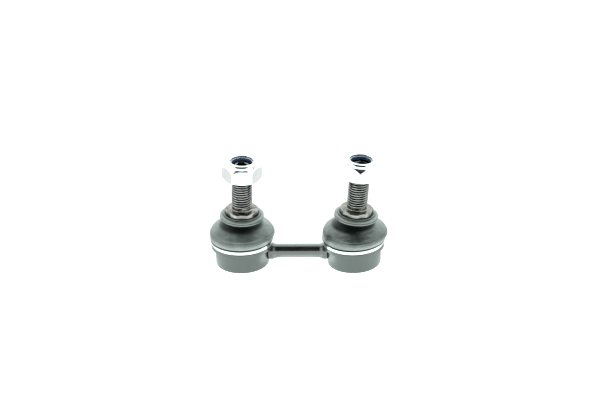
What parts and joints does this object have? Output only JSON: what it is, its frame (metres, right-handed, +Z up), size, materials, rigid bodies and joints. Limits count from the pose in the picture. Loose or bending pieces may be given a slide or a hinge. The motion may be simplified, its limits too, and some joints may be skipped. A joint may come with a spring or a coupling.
{
  "type": "anti-roll bar drop link",
  "caption": "Short anti-roll bar drop link: a rod joins forged cups whose ball studs swing in rubber boots and carry lock nuts.",
  "frame": {"origin": "on the floor, midway between the flat bottoms of the two cups", "axes": "+X along the rod towards the right-hand stud of the picture, +Z up along the studs, and the picture is taken from the -Y side"},
  "size_m": [0.0875, 0.032, 0.0564],
  "materials": {
    "black_coat": "satin",
    "zinc_plate": "bright",
    "stud_steel": "satin",
    "plain_steel": "satin",
    "boot_rubber": "matt",
    "seat_plastic": "matt",
    "insert_plastic": "satin"
  },
  "bodies": {
    "link": {"link_rod": "black_coat", "left_weld": "black_coat", "left_housing_cup": "black_coat", "left_ball_seat": "seat_plastic", "left_closing_ring": "plain_steel", "left_boot_clamp_ring": "zinc_plate", "right_weld": "black_coat", "right_housing_cup": "black_coat", "right_ball_seat": "seat_plastic", "right_closing_ring": "plain_steel", "right_boot_clamp_ring": "zinc_plate"},
    "left_boot_body": {"left_boot": "boot_rubber"},
    "left_neck_ring_body": {"left_boot_neck_ring": "plain_steel"},
    "left_stud_body": {"left_ball_stud": "stud_steel"},
    "left_insert_body": {"left_nut_insert": "insert_plastic"},
    "left_nut_body": {"left_lock_nut": "zinc_plate"},
    "right_boot_body": {"right_boot": "boot_rubber"},
    "right_neck_ring_body": {"right_boot_neck_ring": "plain_steel"},
    "right_stud_body": {"right_ball_stud": "stud_steel"},
    "right_insert_body": {"right_nut_insert": "insert_plastic"},
    "right_nut_body": {"right_lock_nut": "zinc_plate"}
  },
  "joints": [
    {"name": "left_swing_along_bar", "type": "hinge", "parent": "link", "child": "left_boot_body", "pos_m": [-0.0275, 0, 0.0112], "axis": [0, 1, 0], "range_deg": [-22.25, 17.75], "deforming": ["left_boot"]},
    {"name": "left_swing_across_bar", "type": "hinge", "parent": "left_boot_body", "child": "left_neck_ring_body", "pos_m": [-0.0275, 0, 0.0112], "axis": [0.9992, 0, -0.0393], "range_deg": [-20, 20], "deforming": ["left_boot"]},
    {"name": "left_stud_spin", "type": "hinge", "parent": "left_neck_ring_body", "child": "left_stud_body", "pos_m": [-0.0275, 0, 0.0112], "axis": [0.0393, 0, 0.9992], "continuous": true},
    {"name": "left_nut_travel", "type": "slide", "parent": "left_stud_body", "child": "left_insert_body", "axis": [0.0393, 0, 0.9992], "range_m": [-0.0147, 0.01935]},
    {"name": "left_nut_turn", "type": "hinge", "parent": "left_insert_body", "child": "left_nut_body", "pos_m": [-0.0275, 0, 0.0112], "axis": [0.0393, 0, 0.9992], "continuous": true},
    {"name": "right_swing_along_bar", "type": "hinge", "parent": "link", "child": "right_boot_body", "pos_m": [0.0275, 0, 0.0112], "axis": [0, 1, 0], "range_deg": [-25.75, 14.25], "deforming": ["right_boot"]},
    {"name": "right_swing_across_bar", "type": "hinge", "parent": "right_boot_body", "child": "right_neck_ring_body", "pos_m": [0.0275, 0, 0.0112], "axis": [0.995, 0, -0.1002], "range_deg": [-19, 21], "deforming": ["right_boot"]},
    {"name": "right_stud_spin", "type": "hinge", "parent": "right_neck_ring_body", "child": "right_stud_body", "pos_m": [0.0275, 0, 0.0112], "axis": [0.1002, 0.0175, 0.9948], "continuous": true},
    {"name": "right_nut_travel", "type": "slide", "parent": "right_stud_body", "child": "right_insert_body", "axis": [0.1002, 0.0175, 0.9948], "range_m": [-0.0151, 0.01895]},
    {"name": "right_nut_turn", "type": "hinge", "parent": "right_insert_body", "child": "right_nut_body", "pos_m": [0.0275, 0, 0.0112], "axis": [0.1002, 0.0175, 0.9948], "continuous": true}
  ],
  "couplings": [
    {"joint": "left_nut_turn", "follows": "left_nut_travel", "rad_per_m": 5026.5},
    {"joint": "right_nut_turn", "follows": "right_nut_travel", "rad_per_m": 5026.5}
  ]
}
